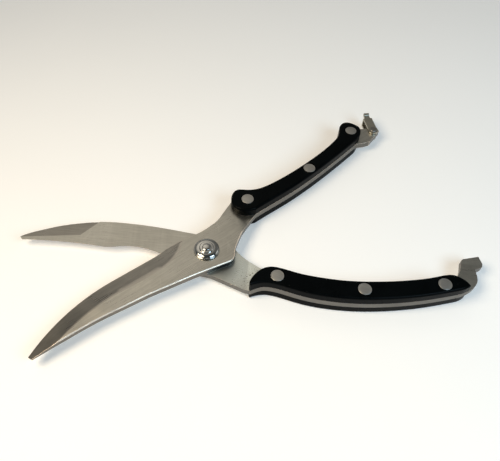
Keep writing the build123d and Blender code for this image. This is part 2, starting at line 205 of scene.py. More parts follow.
class Effects:
    """Builds each shared effect once, and places it in materials."""

    built: dict[Effect, bpy.types.NodeTree] = {}

    @classmethod
    def place(cls, tree: Tree, effect: Effect, **values: object) -> bpy.types.Node:
        """Places an effect in a material.

        Args:
            tree: the material's tree.
            effect: which effect.
            **values: the group's inputs by name.

        Returns:
            The group node.
        """
        if effect not in cls.built:
            cls.built[effect] = getattr(cls, effect.value)()
        node = tree.add("Group", node_tree=cls.built[effect])
        for name, value in values.items():
            if isinstance(value, bpy.types.NodeSocket):
                tree.tree.links.new(value, node.inputs[name])
            else:
                node.inputs[name].default_value = value
        return node

    @staticmethod
    def start(
        name: str, inputs: dict[str, str], outputs: tuple[str, ...]
    ) -> tuple[Tree, bpy.types.Node, bpy.types.Node]:
        """Starts a node group.

        Args:
            name: the group's name.
            inputs: socket kind, Vector or Float, by input name.
            outputs: names of the value outputs.

        Returns:
            The group's tree, its input node and its output node.
        """
        group = bpy.data.node_groups.new(name, "ShaderNodeTree")
        for label, kind in inputs.items():
            group.interface.new_socket(label, in_out="INPUT", socket_type="NodeSocket" + kind)
        for label in outputs:
            group.interface.new_socket(label, in_out="OUTPUT", socket_type="NodeSocketFloat")
        tree = Tree(group)
        return tree, tree.add("NodeGroupInput"), tree.add("NodeGroupOutput")

    @classmethod
    def grinding_grain(cls) -> bpy.types.NodeTree:
        """Builds belt-ground grain: long streaks along the group's own X, uneven in depth.

        Returns:
            The group.
        """
        tree, given, out = cls.start(
            "grinding_grain",
            {"Position": "Vector", "Turn": "Vector", "Fineness": "Float"},
            ("Height", "Tone"),
        )
        turned = tree.add("Mapping", {"Vector": given.outputs["Position"], "Rotation": given.outputs["Turn"]})
        along = (0.06, 1.0, 1.0)
        stretched = tree.add("VectorMath", {0: turned.outputs[0], 1: along}, operation="MULTIPLY")
        fine = tree.add(
            "TexNoise",
            {
                "Vector": stretched.outputs[0],
                "Scale": given.outputs["Fineness"],
                "Detail": 4.0,
                "Roughness": 0.65,
            },
        )
        coarser, broad_share, to_unit = 0.17, 0.4, 0.714
        broad_scale = tree.maths("MULTIPLY", given.outputs["Fineness"], coarser)
        broad = tree.add("TexNoise", {"Vector": stretched.outputs[0], "Scale": broad_scale, "Detail": 3.0})
        height = tree.maths("ADD", fine.outputs[0], tree.maths("MULTIPLY", broad.outputs[0], broad_share))
        tone = tree.spread(tree.maths("MULTIPLY", height, to_unit), 0.34, 0.66, 0.0, 1.0)
        tree.tree.links.new(height, out.inputs["Height"])
        tree.tree.links.new(tone, out.inputs["Tone"])
        return tree.tree

    @classmethod
    def hair_scratches(cls) -> bpy.types.NodeTree:
        """Builds sparse hairline scratches, each a thin bright crease in a stretched cell pattern.

        Returns:
            The group.
        """
        tree, given, out = cls.start("hair_scratches", {"Position": "Vector", "Turn": "Vector"}, ("Mask",))
        wandering, along, line_width = 0.006, (0.16, 1.0, 1.0), 0.012
        masks = []
        for turn, scale in ((0.35, 95.0), (-0.9, 60.0)):
            offset = tree.add("VectorMath", {0: given.outputs["Turn"], 1: (0.0, 0.0, turn)}, operation="ADD")
            turned = tree.add("Mapping", {"Vector": given.outputs["Position"], "Rotation": offset.outputs[0]})
            bent = tree.add("TexNoise", {"Vector": turned.outputs[0], "Scale": 40.0, "Detail": 1.0})
            wander = tree.add("VectorMath", {0: bent.outputs["Color"], "Scale": wandering}, operation="SCALE")
            moved = tree.add("VectorMath", {0: turned.outputs[0], 1: wander.outputs[0]}, operation="ADD")
            flat = tree.add("VectorMath", {0: moved.outputs[0], 1: along}, operation="MULTIPLY")
            sockets = {"Vector": flat.outputs[0], "Scale": scale}
            cells = tree.add("TexVoronoi", sockets, feature="DISTANCE_TO_EDGE")
            line = tree.spread(cells.outputs[0], 0.0, line_width, 1.0, 0.0)
            broken = tree.add("TexNoise", {"Vector": turned.outputs[0], "Scale": 130.0, "Detail": 2.0})
            masks.append(tree.maths("MULTIPLY", line, tree.spread(broken.outputs[0], 0.5, 0.62, 0.0, 1.0)))
        tree.tree.links.new(tree.maths("MAXIMUM", *masks), out.inputs["Mask"])
        return tree.tree

    @classmethod
    def dirt_specks(cls) -> bpy.types.NodeTree:
        """Builds small dark specks of dried grime, more of them where Amount is high.

        Returns:
            The group.
        """
        tree, given, out = cls.start(
            "dirt_specks", {"Position": "Vector", "Fineness": "Float", "Amount": "Float"}, ("Mask",)
        )
        noise = tree.add(
            "TexNoise",
            {
                "Vector": given.outputs["Position"],
                "Scale": given.outputs["Fineness"],
                "Detail": 3.0,
                "Roughness": 0.6,
            },
        )
        amount_share, starts, full = 0.13, 0.72, 0.77
        more = tree.maths("MULTIPLY", given.outputs["Amount"], amount_share)
        level = tree.maths("ADD", noise.outputs[0], more)
        tree.tree.links.new(tree.spread(level, starts, full, 0.0, 1.0), out.inputs["Mask"])
        return tree.tree

    @classmethod
    def handling_smudges(cls) -> bpy.types.NodeTree:
        """Builds the soft cloudy film that hands leave, from 0 clean to 1 dull.

        Returns:
            The group.
        """
        tree, given, out = cls.start(
            "handling_smudges", {"Position": "Vector", "Fineness": "Float"}, ("Film",)
        )
        noise = tree.add(
            "TexNoise",
            {
                "Vector": given.outputs["Position"],
                "Scale": given.outputs["Fineness"],
                "Detail": 5.0,
                "Roughness": 0.55,
                "Distortion": 0.6,
            },
        )
        tree.tree.links.new(tree.spread(noise.outputs[0], 0.36, 0.66, 0.0, 1.0), out.inputs["Film"])
        return tree.tree

    @classmethod
    def nearness(cls) -> bpy.types.NodeTree:
        """Builds a soft ball: 1 at Centre, fading to 0 at Reach from it.

        Returns:
            The group.
        """
        tree, given, out = cls.start(
            "nearness", {"Position": "Vector", "Centre": "Vector", "Reach": "Float"}, ("Mask",)
        )
        ends = {0: given.outputs["Position"], 1: given.outputs["Centre"]}
        away = tree.add("VectorMath", ends, operation="DISTANCE")
        share = tree.maths("DIVIDE", away.outputs["Value"], given.outputs["Reach"])
        tree.tree.links.new(tree.spread(share, 0.1, 1.0, 1.0, 0.0), out.inputs["Mask"])
        return tree.tree


# --------------------------------------------------------------------------------------------------
# Finishes
# --------------------------------------------------------------------------------------------------


def scaled(colour: Colour, by: float) -> Colour:
    """Returns the colour with each channel multiplied."""
    return tuple(channel * by for channel in colour)


def new_material(name: str) -> tuple[bpy.types.Material, Tree, bpy.types.Node]:
    """Makes an empty node material.

    Args:
        name: the material's name.

    Returns:
        The material, its tree and its Principled shader.
    """
    material = bpy.data.materials.new(name)
    material.use_nodes = True
    material.node_tree.nodes.clear()
    tree = Tree(material.node_tree)
    shader = tree.add("BsdfPrincipled")
    output = tree.add("OutputMaterial")
    material.node_tree.links.new(shader.outputs[0], output.inputs["Surface"])
    return material, tree, shader


@dataclass(frozen=True)
class Spot:
    """A place where a finish's colour is painted over with painted shade or a painted sheen, and its
    roughness shifted by polish.
    """

    at: Point
    reach: float
    colour: Colour
    share: float = 0.7
    polish: float = 0.0


@dataclass(frozen=True)
class GroundSteel:
    """Belt-ground stainless steel: streaked tone, satin gloss, hair scratches, specks of grime, and spots of
    painted shade and sheen.
    """

    name: str
    colour: Colour = (0.575, 0.56, 0.505)
    turn: float = 0.0
    roughness: float = 0.30
    grain: float = 0.24
    fineness: float = 1300.0
    scratches: float = 0.5
    cross: float = 0.0
    spots: tuple[Spot, ...] = ()
    grime_at: Point | None = None
    grime_reach: float = 0.016
    grime: Colour = (0.045, 0.038, 0.022)
    streaks: tuple[float, float] = (0.86, 1.10)  # the colour's darkest and lightest share
    cross_turn: float = 1.45
    cross_light: float = 1.25
    clouds: tuple[float, float] = (0.22, 0.78)  # how much of a cloud shows, and its share of the colour
    creases: tuple[float, float] = (0.5, 1.3)  # the same of a scratch

    def material(self) -> bpy.types.Material:
        """Builds the finish.

        Returns:
            The material.
        """
        material, tree, shader = new_material(self.name)
        position = tree.add("TexCoord").outputs["Object"]
        turn = (0.0, 0.0, self.turn)
        grain = Effects.place(tree, Effect.GRAIN, Position=position, Turn=turn, Fineness=self.fineness)
        scratches = Effects.place(tree, Effect.SCRATCHES, Position=position, Turn=turn)
        film = Effects.place(tree, Effect.SMUDGES, Position=position, Fineness=38.0).outputs["Film"]
        mottle = Effects.place(tree, Effect.SMUDGES, Position=position, Fineness=210.0).outputs["Film"]
        mark = tree.maths("MULTIPLY", scratches.outputs["Mask"], self.scratches)

        dark, light = (scaled(self.colour, share) for share in self.streaks)
        streaked = tree.blend(grain.outputs["Tone"], dark, light)
        if self.cross:
            turn_across = (0.0, 0.0, self.turn + self.cross_turn)
            across = Effects.place(
                tree, Effect.GRAIN, Position=position, Turn=turn_across, Fineness=self.fineness / 2
            )
            crossed = tree.maths("MULTIPLY", across.outputs["Tone"], self.cross)
            streaked = tree.blend(crossed, streaked, scaled(self.colour, self.cross_light))
        shown, tone = self.clouds
        clouded = tree.blend(tree.maths("MULTIPLY", mottle, shown), streaked, scaled(self.colour, tone))
        shown, tone = self.creases
        creased = tree.blend(tree.maths("MULTIPLY", mark, shown), clouded, scaled(self.colour, tone))
        amount: object = 0.0
        if self.grime_at:
            near = Effects.place(
                tree, Effect.NEARNESS, Position=position, Centre=self.grime_at, Reach=self.grime_reach
            )
            amount = near.outputs["Mask"]
        satin = tree.maths("ADD", tree.maths("MULTIPLY", film, 0.10), self.roughness - 0.04)
        satin = tree.maths("ADD", satin, tree.maths("MULTIPLY", grain.outputs["Tone"], 0.05))
        # Each spot paints shade or sheen into the colour, and its polish shifts the roughness.
        for spot in self.spots:
            near = Effects.place(tree, Effect.NEARNESS, Position=position, Centre=spot.at, Reach=spot.reach)
            mask = near.outputs["Mask"]
            satin = tree.maths("SUBTRACT", satin, tree.maths("MULTIPLY", mask, spot.polish))
            creased = tree.blend(tree.maths("MULTIPLY", mask, spot.share), creased, spot.colour)
        specks = Effects.place(tree, Effect.SPECKS, Position=position, Fineness=1300.0, Amount=amount)
        dirty = tree.blend(specks.outputs["Mask"], creased, self.grime)
        tree.tree.links.new(dirty, shader.inputs["Base Color"])
        dull = tree.maths("ADD", satin, tree.maths("MULTIPLY", specks.outputs["Mask"], 0.35))
        tree.tree.links.new(dull, shader.inputs["Roughness"])
        shine = tree.maths("SUBTRACT", 1.0, tree.maths("MULTIPLY", specks.outputs["Mask"], 0.8))
        tree.tree.links.new(shine, shader.inputs["Metallic"])

        height = tree.maths("SUBTRACT", grain.outputs["Height"], mark)
        bump = tree.add("Bump", {"Height": height, "Strength": self.grain, "Distance": 0.00004})
        tree.tree.links.new(bump.outputs[0], shader.inputs["Normal"])
        return material


@dataclass(frozen=True)
class MouldedPlastic:
    """Glossy black moulded plastic with a faint orange-peel skin and the film of use."""

    name: str
    colour: Colour = (0.0011, 0.0017, 0.0020)
    roughness: float = 0.25
    gloss: float = 0.035

    def material(self) -> bpy.types.Material:
        """Builds the finish.

        Returns:
            The material.
        """
        material, tree, shader = new_material(self.name)
        position = tree.add("TexCoord").outputs["Object"]
        film = Effects.place(tree, Effect.SMUDGES, Position=position, Fineness=70.0).outputs["Film"]
        scratches = Effects.place(tree, Effect.SCRATCHES, Position=position, Turn=(0.0, 0.0, 0.2))
        specks = Effects.place(tree, Effect.SPECKS, Position=position, Fineness=1500.0, Amount=0.0)
        dust = specks.outputs["Mask"]
        clouded = tree.blend(tree.maths("MULTIPLY", film, 0.35), self.colour, scaled(self.colour, 2.2))
        dusty = tree.blend(tree.maths("MULTIPLY", dust, 0.5), clouded, (0.12, 0.125, 0.12))
        tree.tree.links.new(dusty, shader.inputs["Base Color"])
        gloss = tree.maths("ADD", tree.maths("MULTIPLY", film, 0.12), self.roughness)
        gloss = tree.maths("ADD", gloss, tree.maths("MULTIPLY", scratches.outputs["Mask"], 0.18))
        tree.tree.links.new(gloss, shader.inputs["Roughness"])
        shader.inputs["Specular IOR Level"].default_value = self.gloss
        peel = tree.add("TexNoise", {"Vector": position, "Scale": 1400.0, "Detail": 2.0})
        height = tree.maths("SUBTRACT", peel.outputs[0], scratches.outputs["Mask"])
        bump = tree.add("Bump", {"Height": height, "Strength": 0.18, "Distance": 0.00004})
        tree.tree.links.new(bump.outputs[0], shader.inputs["Normal"])
        return material


@dataclass(frozen=True)
class BrightMetal:
    """Plated or turned metal, from mirror chrome to satin rivets."""

    name: str
    colour: Colour
    roughness: float
    film: float = 0.06
    grain: float = 0.08
    fineness: float = 1600.0

    def material(self) -> bpy.types.Material:
        """Builds the finish.

        Returns:
            The material.
        """
        material, tree, shader = new_material(self.name)
        position = tree.add("TexCoord").outputs["Object"]
        film = Effects.place(tree, Effect.SMUDGES, Position=position, Fineness=160.0).outputs["Film"]
        grain = Effects.place(
            tree, Effect.GRAIN, Position=position, Turn=(0.0, 0.0, 0.7), Fineness=self.fineness
        )
        specks = Effects.place(tree, Effect.SPECKS, Position=position, Fineness=1300.0, Amount=0.15)
        pits = specks.outputs["Mask"]
        tone = tree.blend(grain.outputs["Tone"], scaled(self.colour, 0.92), scaled(self.colour, 1.07))
        pitted = tree.blend(tree.maths("MULTIPLY", pits, 0.45), tone, scaled(self.colour, 0.35))
        tree.tree.links.new(pitted, shader.inputs["Base Color"])
        gloss = tree.maths("ADD", tree.maths("MULTIPLY", film, self.film), self.roughness)
        tree.tree.links.new(gloss, shader.inputs["Roughness"])
        shader.inputs["Metallic"].default_value = 1.0
        bump = tree.add(
            "Bump", {"Height": grain.outputs["Height"], "Strength": self.grain, "Distance": 0.00003}
        )
        tree.tree.links.new(bump.outputs[0], shader.inputs["Normal"])
        return material


# --------------------------------------------------------------------------------------------------
# Pieces
# --------------------------------------------------------------------------------------------------


def centre_of(node: str) -> Vector:
    """Returns the middle of a CAD node's box."""
    low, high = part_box(node)
    return (low + high) / 2


def add_piece(name: str, work: bmesh.types.BMesh, body: Body) -> bpy.types.Object:
    """Makes an object of a finished bmesh and lets it ride on a body.

    Args:
        name: the piece's name.
        work: the mesh, in the row frame; it is freed.
        body: what the piece moves with.

    Returns:
        The piece.
    """
    mesh = bpy.data.meshes.new(name)
    work.to_mesh(mesh)
    work.free()
    piece = bpy.data.objects.new(name, mesh)
    bpy.context.scene.collection.objects.link(piece)
    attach(piece, body.value)
    return piece


def merged_copy(node: bpy.types.Object) -> bmesh.types.BMesh:
    """Copies a CAD node's loose triangles into one closed skin with whole flat faces.

    Args:
        node: the CAD node's object.

    Returns:
        The copy.
    """
    work = bmesh.new()
    work.from_mesh(node.data)
    bmesh.ops.remove_doubles(work, verts=work.verts, dist=WELD)
    bmesh.ops.dissolve_degenerate(work, edges=work.edges, dist=WELD)
    bmesh.ops.dissolve_limit(
        work, angle_limit=FLAT_WITHIN, verts=work.verts, edges=work.edges, delimit=set()
    )
    for face in work.faces:
        face.smooth = True
        face.material_index = 0
    return work


def cut_level(work: bmesh.types.BMesh, height: float, keep_above: bool) -> None:
    """Cuts a closed mesh at a level, keeps one side and closes the cut.

    Args:
        work: the mesh.
        height: the level, in metres.
        keep_above: whether the upper side stays.
    """
    bmesh.ops.bisect_plane(
        work,
        geom=[*work.verts, *work.edges, *work.faces],
        plane_co=(0.0, 0.0, height),
        plane_no=(0.0, 0.0, 1.0),
        clear_inner=keep_above,
        clear_outer=not keep_above,
    )
    open_edges = [edge for edge in work.edges if edge.is_boundary]
    bmesh.ops.holes_fill(work, edges=open_edges)
    bmesh.ops.recalc_face_normals(work, faces=work.faces)


def break_edges(piece: bpy.types.Object, width: float, segments: int = 2, edge_slot: int = -1) -> None:
    """Rounds a piece's sharp edges by a little, and keeps its flats flat in the shading.

    Args:
        piece: the piece.
        width: the rounding's width in millimetres.
        segments: the rounding's facets.
        edge_slot: the piece's material slot for the rounding, or -1 for its neighbour's.
    """
    bevel = piece.modifiers.new("broken_edges", "BEVEL")
    bevel.width = width * MM
    bevel.segments = segments
    bevel.limit_method = "ANGLE"
    bevel.angle_limit = SHARP_FROM
    bevel.material = edge_slot
    bevel.miter_outer = "MITER_ARC"
    bevel.use_clamp_overlap = True
    shading = piece.modifiers.new("flat_faces", "WEIGHTED_NORMAL")
    shading.keep_sharp = True


def turned(profile: Profile, axis: Vector, steps: int = 64) -> bmesh.types.BMesh:
    """Spins a profile about a vertical axis, as on a lathe.

    Args:
        profile: (radius, height) pairs in millimetres, from the axis round to the axis, or a closed ring.
        axis: a point on the axis, in the row frame, in metres.
        steps: facets round the axis.

    Returns:
        The turned solid.
    """
    work = bmesh.new()
    points = [work.verts.new((radius * MM, 0.0, height * MM)) for radius, height in profile]
    edges = [work.edges.new(pair) for pair in zip(points, points[1:])]
    bmesh.ops.spin(
        work,
        geom=points + edges,
        cent=(0.0, 0.0, 0.0),
        axis=(0.0, 0.0, 1.0),
        angle=math.tau,
        steps=steps,
        use_merge=True,
    )
    bmesh.ops.remove_doubles(work, verts=work.verts, dist=0.001 * MM)
    bmesh.ops.recalc_face_normals(work, faces=work.faces)
    bmesh.ops.translate(work, verts=work.verts, vec=(axis.x, axis.y, 0.0))
    for face in work.faces:
        face.smooth = True
    return work


def arc(centre: tuple[float, float], radius: float, start: float, end: float, steps: int) -> Profile:
    """Lays points along an arc of a lathe profile.

    Args:
        centre: (radius, height) of the arc's middle, in millimetres.
        radius: the arc's radius in millimetres.
        start: the first point's angle in degrees, 0 outwards and 90 up.
        end: the last point's angle in degrees.
        steps: the number of chords.

    Returns:
        The points, both ends included.
    """
    angles = [math.radians(start + (end - start) * step / steps) for step in range(steps + 1)]
    return [(centre[0] + radius * math.cos(a), centre[1] + radius * math.sin(a)) for a in angles]


class Zone(Enum):
    """The differently finished zones of a blade's plate, by material index: painted shade darkens the ground
    and side zones, and a painted highlight lightens the edge zone.
    """

    FLAT = 0
    GRIND = 1
    EDGE = 2
    SIDE = 3


@dataclass
class Blade:
    """One half's steel: blade, neck and tang in one ground plate."""

    node: str
    body: Body
    ground_from: float = 8.0  # millimetres ahead of the pivot
    side_tilt: float = 75.0  # degrees from level, as are the next two
    edge_tilt: float = 28.0
    grind_tilt: float = 1.0
    finishes: dict[Zone, GroundSteel] = field(default_factory=dict)
    edge_break: float = 0.16

    def build(self, frame: dict) -> bpy.types.Object:
        """Builds the plate from its CAD node, and marks its ground faces.


        Returns:
            The piece.
        """
        work = merged_copy(frame["nodes"][self.node])
        pivot = centre_of("pivot_nut")
        for face in work.faces:
            tilt = math.degrees(math.acos(max(-1.0, min(1.0, abs(face.normal.z)))))
            before_pivot = (pivot.x - face.calc_center_median().x) / MM
            # Steep sides, sloped edges and ground faces ahead of the pivot each get their zone, and with it
            # painted shade or a painted highlight.
            if tilt > self.side_tilt:
                face.material_index = Zone.SIDE.value
            elif tilt > self.edge_tilt:
                face.material_index = Zone.EDGE.value
            elif tilt > self.grind_tilt and before_pivot > self.ground_from:
                face.material_index = Zone.GRIND.value
        piece = add_piece(self.node + "_plate", work, self.body)
        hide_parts(self.node)
        break_edges(piece, self.edge_break, edge_slot=Zone.EDGE.value)
        return piece

    def dress(self, piece: bpy.types.Object) -> None:
        """Gives each zone of the plate its finish, painted shade and highlight included."""
        for zone in Zone:
            piece.data.materials.append(self.finishes[zone].material())


@dataclass
class Grips:
    """The moulded scales of one half, which keep their CAD shape."""

    half: str

    def dress(self, frame: dict, material: bpy.types.Material) -> None:
        """Dresses both scales.

        Args:
            material: the moulded plastic.
        """
        for side in ("top", "under"):
            scale = frame["nodes"][f"{self.half}_scale_{side}"]
            scale.material_slots[0].material = material


@dataclass
class Rivets:
    """One half's three two-piece rivets: a male pin whose head shows on top, and a female barrel below."""

    half: str
    body: Body
    head_r: float = 3.5
    head_t: float = 1.4
    pin_r: float = 1.5
    barrel_r: float = 2.2
    rim: float = 0.22
    crown: float = 0.07
    groove_in: float = 0.62
    groove_half: float = 0.14
    groove_depth: float = 0.07
    fit: float = 0.04

    def head(self, top: float, sign: int) -> Profile:
        """Lays the outline of a head from its rim to its crowned middle.

        Args:
            top: the height of the head's crown in millimetres.
            sign: 1 for a head that faces up, -1 for one that faces down.

        Returns:
            The outline, from the foot of the rim to the axis.
        """
        edge = top - sign * self.crown
        rim = arc((self.head_r - self.rim, 0.0), self.rim, 0.0, 90.0, 4)
        lip = [(radius, edge - sign * (self.rim - height)) for radius, height in rim]
        groove_r = self.head_r - self.groove_in
        groove = [
            (groove_r + self.groove_half, edge),
            (groove_r, edge - sign * self.groove_depth),
            (groove_r - self.groove_half, edge),
        ]
        dish = [
            (groove_r * share, top - sign * self.crown * share * share) for share in (0.85, 0.6, 0.35, 0.0)
        ]
        return lip + groove + dish

    def build(self) -> list[bpy.types.Object]:
        """Turns all six pieces.

        Returns:
            The pieces.
        """
        made = []
        for number in (1, 2, 3):
            for kind in ("male", "female"):
                node = f"{self.half}_rivet_{number}_{kind}"
                low, high = (corner.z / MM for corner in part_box(node))
                if kind == "male":
                    shank = [(0.0, low), (self.pin_r, low), (self.pin_r, high - self.head_t)]
                    profile = shank + [(self.head_r, high - self.head_t)] + self.head(high, 1)
                else:
                    inner = self.pin_r + self.fit
                    floor = low + self.head_t
                    barrel = [(0.0, floor), (inner, floor), (inner, high), (self.barrel_r, high)]
                    profile = barrel + [(self.barrel_r, floor), (self.head_r, floor)] + self.head(low, -1)
                work = turned(profile, centre_of(node), 48)
                piece = add_piece(node + "_turned", work, self.body)
                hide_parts(node)
                made.append(piece)
        return made

    @staticmethod
    def dress(pieces: list[bpy.types.Object], material: bpy.types.Material) -> None:
        """Gives every rivet piece the same satin alloy."""
        for piece in pieces:
            piece.data.materials.append(material)


@dataclass
class Pivot:
    """What turns and holds the halves: bolt, washer, dome nut, return spring and stop pin."""

    edge_break: float = 0.12
    boss_r: float = 3.6
    pip_r: float = 2.2
    pip_rise: float = 0.5
    rim: float = 0.25
    thread_r: float = 2.55
    bore_cone: float = 0.1
    boss_height: float = 0.55
    boss_edge: float = 0.3
    pip_fillet: tuple[float, float] = (0.1, 0.05)
    bolt_clear: float = 0.05
    coil_depth: float = 0.30
    cut_gap: float = 0.01

    def nut_profile(self, low: float, high: float, radius: float, roof: float) -> Profile:
        """Lays the dome nut's outline from its bore round to its top.

        Args:
            low: the nut's seat in millimetres.
            high: its top in millimetres.
            radius: its flange radius in millimetres.
            roof: the height of its bore's end in millimetres.

        Returns:
            The outline.
        """
        boss_top = high - self.pip_rise
        shoulder = boss_top - self.boss_height
        flange = arc((radius - self.rim, low + self.rim), self.rim, -90.0, 90.0, 6)
        rise = shoulder - (low + 2 * self.rim)
        span = radius - 2 * self.rim - self.boss_r
        sides = [step / 10 for step in range(11)]
        dome = [
            (
                self.boss_r + span * math.cos(QUARTER * side),
                low + 2 * self.rim + rise * math.sin(QUARTER * side),
            )
            for side in sides
        ]
        boss_at = (self.boss_r - self.boss_edge, boss_top - self.boss_edge)
        boss = arc(boss_at, self.boss_edge, 0.0, 90.0, 5)
        pip_round = self.pip_rise * 0.9
        out, down = self.pip_fillet
        pip = [(self.pip_r + out, boss_top - down), (self.pip_r, boss_top)]
        cap = [
            (self.pip_r * math.cos(QUARTER * side), boss_top + pip_round * math.sin(QUARTER * side))
            for side in sides
        ]
        bore = [(0.0, roof), (self.thread_r, roof - self.bore_cone), (self.thread_r, low)]
        return bore + flange + dome + boss + pip + cap

    def build(self, frame: dict) -> dict[str, bpy.types.Object]:
        """Builds the pivot's pieces.


        Returns:
            The pieces by CAD node.
        """
        made = {}
        low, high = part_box("pivot_nut")
        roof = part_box("pivot_bolt")[1].z / MM + self.bolt_clear
        profile = self.nut_profile(low.z / MM, high.z / MM, (high.x - low.x) / 2 / MM, roof)
        nut = turned(profile, (low + high) / 2, 96)
        made["pivot_nut"] = add_piece("pivot_nut_turned", nut, Body.REAR)
        for node in ("pivot_bolt", "pivot_washer", "stop_pin"):
            work = merged_copy(frame["nodes"][node])
            made[node] = add_piece(node + "_turned", work, Body.REAR)
            break_edges(made[node], self.edge_break)
        for node, piece in made.items():
            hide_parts(node)
        made.update(self.build_spring(frame))
        return made

    def build_spring(self, frame: dict) -> dict[str, bpy.types.Object]:
        """Builds the return spring: its coil on the rear half, its moving end in the front half's hole.

        The wire doesn't wind up as the handles close: the moving end leaves the coil's end behind.


        Returns:
            The spring's two pieces by name.
        """
        middle = (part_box("front_blade")[0].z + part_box("rear_blade")[1].z) / 2
        level = middle - self.coil_depth * MM
        made = {}
        for name, body, above in (("spring_coil", Body.REAR, False), ("spring_leg", Body.FRONT, True)):
            work = merged_copy(frame["nodes"]["return_spring"])
            cut_level(work, level + (self.cut_gap if above else -self.cut_gap) * MM, above)
            made[name] = add_piece("return_" + name, work, body)
        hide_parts("return_spring")
        return made

    @staticmethod
    def dress(
        made: dict[str, bpy.types.Object],
        chrome: bpy.types.Material,
        steel: bpy.types.Material,
        wire: bpy.types.Material,
    ) -> None:
        """Dresses the pivot's pieces.

        Args:
            made: the pieces by name.
            chrome: the dome nut's plating.
            steel: the finish of bolt, washer and pin.
            wire: the spring's finish.
        """
        special = {"pivot_nut": chrome, "spring_coil": wire, "spring_leg": wire}
        for name, piece in made.items():
            piece.data.materials.append(special.get(name, steel))


@dataclass
class Latch:
    """The bent stirrup that locks the handles shut, and the pin that it turns on."""

    edge_break: float = 0.14

    def build(self, frame: dict) -> list[bpy.types.Object]:
        """Builds the stirrup and its pin from their CAD nodes.


        Returns:
            The pieces.
        """
        made = []
        for node, body in (("latch_stirrup", Body.LATCH), ("latch_pin", Body.FRONT)):
            piece = add_piece(node + "_formed", merged_copy(frame["nodes"][node]), body)
            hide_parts(node)
            break_edges(piece, self.edge_break)
            made.append(piece)
        return made

    @staticmethod
    def dress(pieces: list[bpy.types.Object], stirrup: bpy.types.Material, pin: bpy.types.Material) -> None:
        """Gives the stirrup and the pin their steel."""
        for piece, material in zip(pieces, (stirrup, pin)):
            piece.data.materials.append(material)


# --------------------------------------------------------------------------------------------------
# Studio
# --------------------------------------------------------------------------------------------------


@dataclass(frozen=True)
class SoftBox:
    """One soft rectangular light, aimed at a point on the table."""

    name: str
    place: Point
    aim: Point
    size: tuple[float, float]
    power: float
    colour: Colour

    def build(self) -> bpy.types.Object:
        """Hangs the light.

        Returns:
            The light's object.
        """
        light = bpy.data.lights.new(self.name, "AREA")
        light.shape = "RECTANGLE"
        light.size, light.size_y = self.size
        light.energy = self.power
        light.color = self.colour
        lamp = bpy.data.objects.new(self.name, light)
        lamp.location = self.place
        lamp.rotation_euler = (Vector(self.aim) - Vector(self.place)).to_track_quat("-Z", "Y").to_euler()
        bpy.context.scene.collection.objects.link(lamp)
        return lamp


